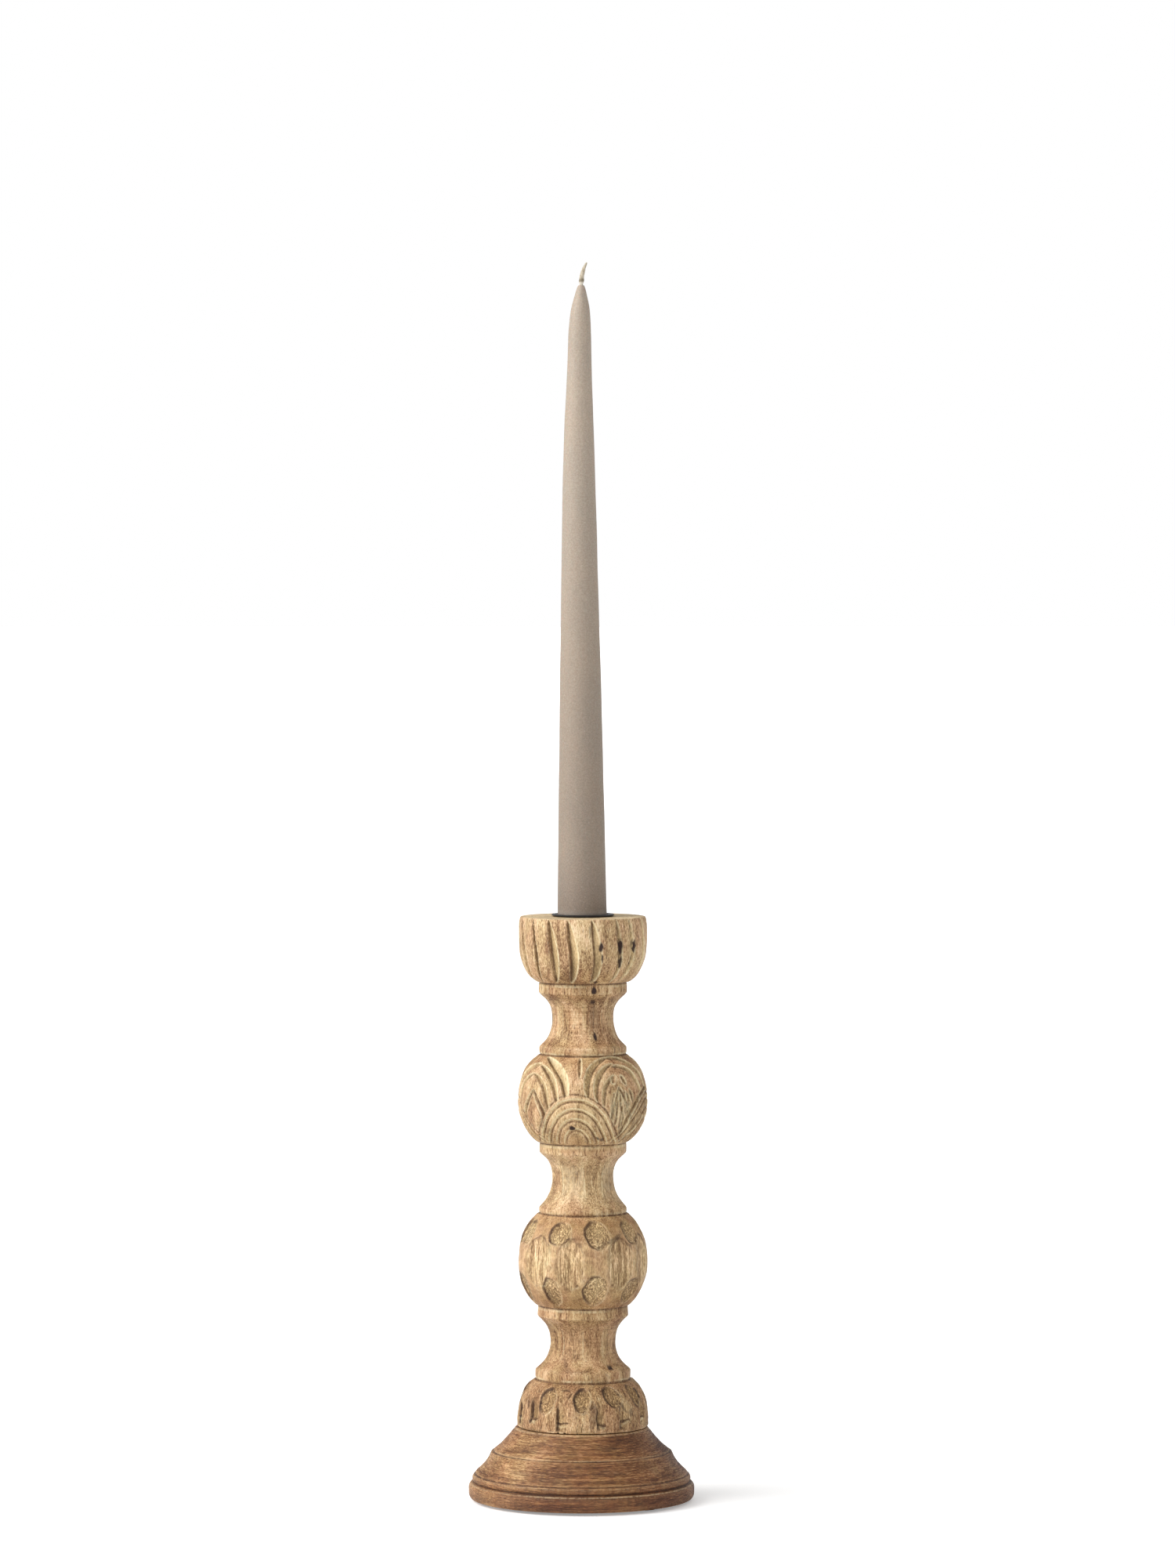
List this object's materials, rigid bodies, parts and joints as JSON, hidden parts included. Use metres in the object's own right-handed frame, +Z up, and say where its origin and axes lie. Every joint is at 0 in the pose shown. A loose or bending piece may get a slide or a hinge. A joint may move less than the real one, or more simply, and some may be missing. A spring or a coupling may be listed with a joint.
{
  "type": "candlestick",
  "caption": "Turned and hand-carved wooden candlestick on a round foot, with a black metal cup in its fluted bowl that holds a slim tapered candle.",
  "frame": {"origin": "on the table, under the middle of the foot, at the felt pads' underside", "axes": "+Z up along the turned axis; -Y is the front, where the arch of the upper ball faces"},
  "size_m": [0.1012, 0.1012, 0.5539],
  "materials": {
    "column_wood": "pale, dry, lightly waxed wood with brown stain left in the cuts",
    "foot_wood": "darker, lightly waxed wood with its grain across",
    "cup_metal": "black satin paint",
    "screw_steel": "plain zinc-plated steel",
    "felt": "dark brown felt",
    "candle_wax": "matte taupe wax with a fine bloom",
    "wick_cotton": "waxed braided cotton"
  },
  "bodies": {
    "stand": {"foot": "foot_wood", "column": "column_wood", "candle_cup": "cup_metal", "cup_screw": "screw_steel", "foot_screw": "screw_steel", "felt_pad_1": "felt", "felt_pad_2": "felt", "felt_pad_3": "felt", "felt_pad_4": "felt"},
    "candle": {"candle": "candle_wax", "wick": "wick_cotton"}
  },
  "joints": [
    {"name": "candle_lift", "type": "slide", "parent": "stand", "child": "candle", "axis": [0, 0, 1], "range_m": [0, 0.022]}
  ]
}
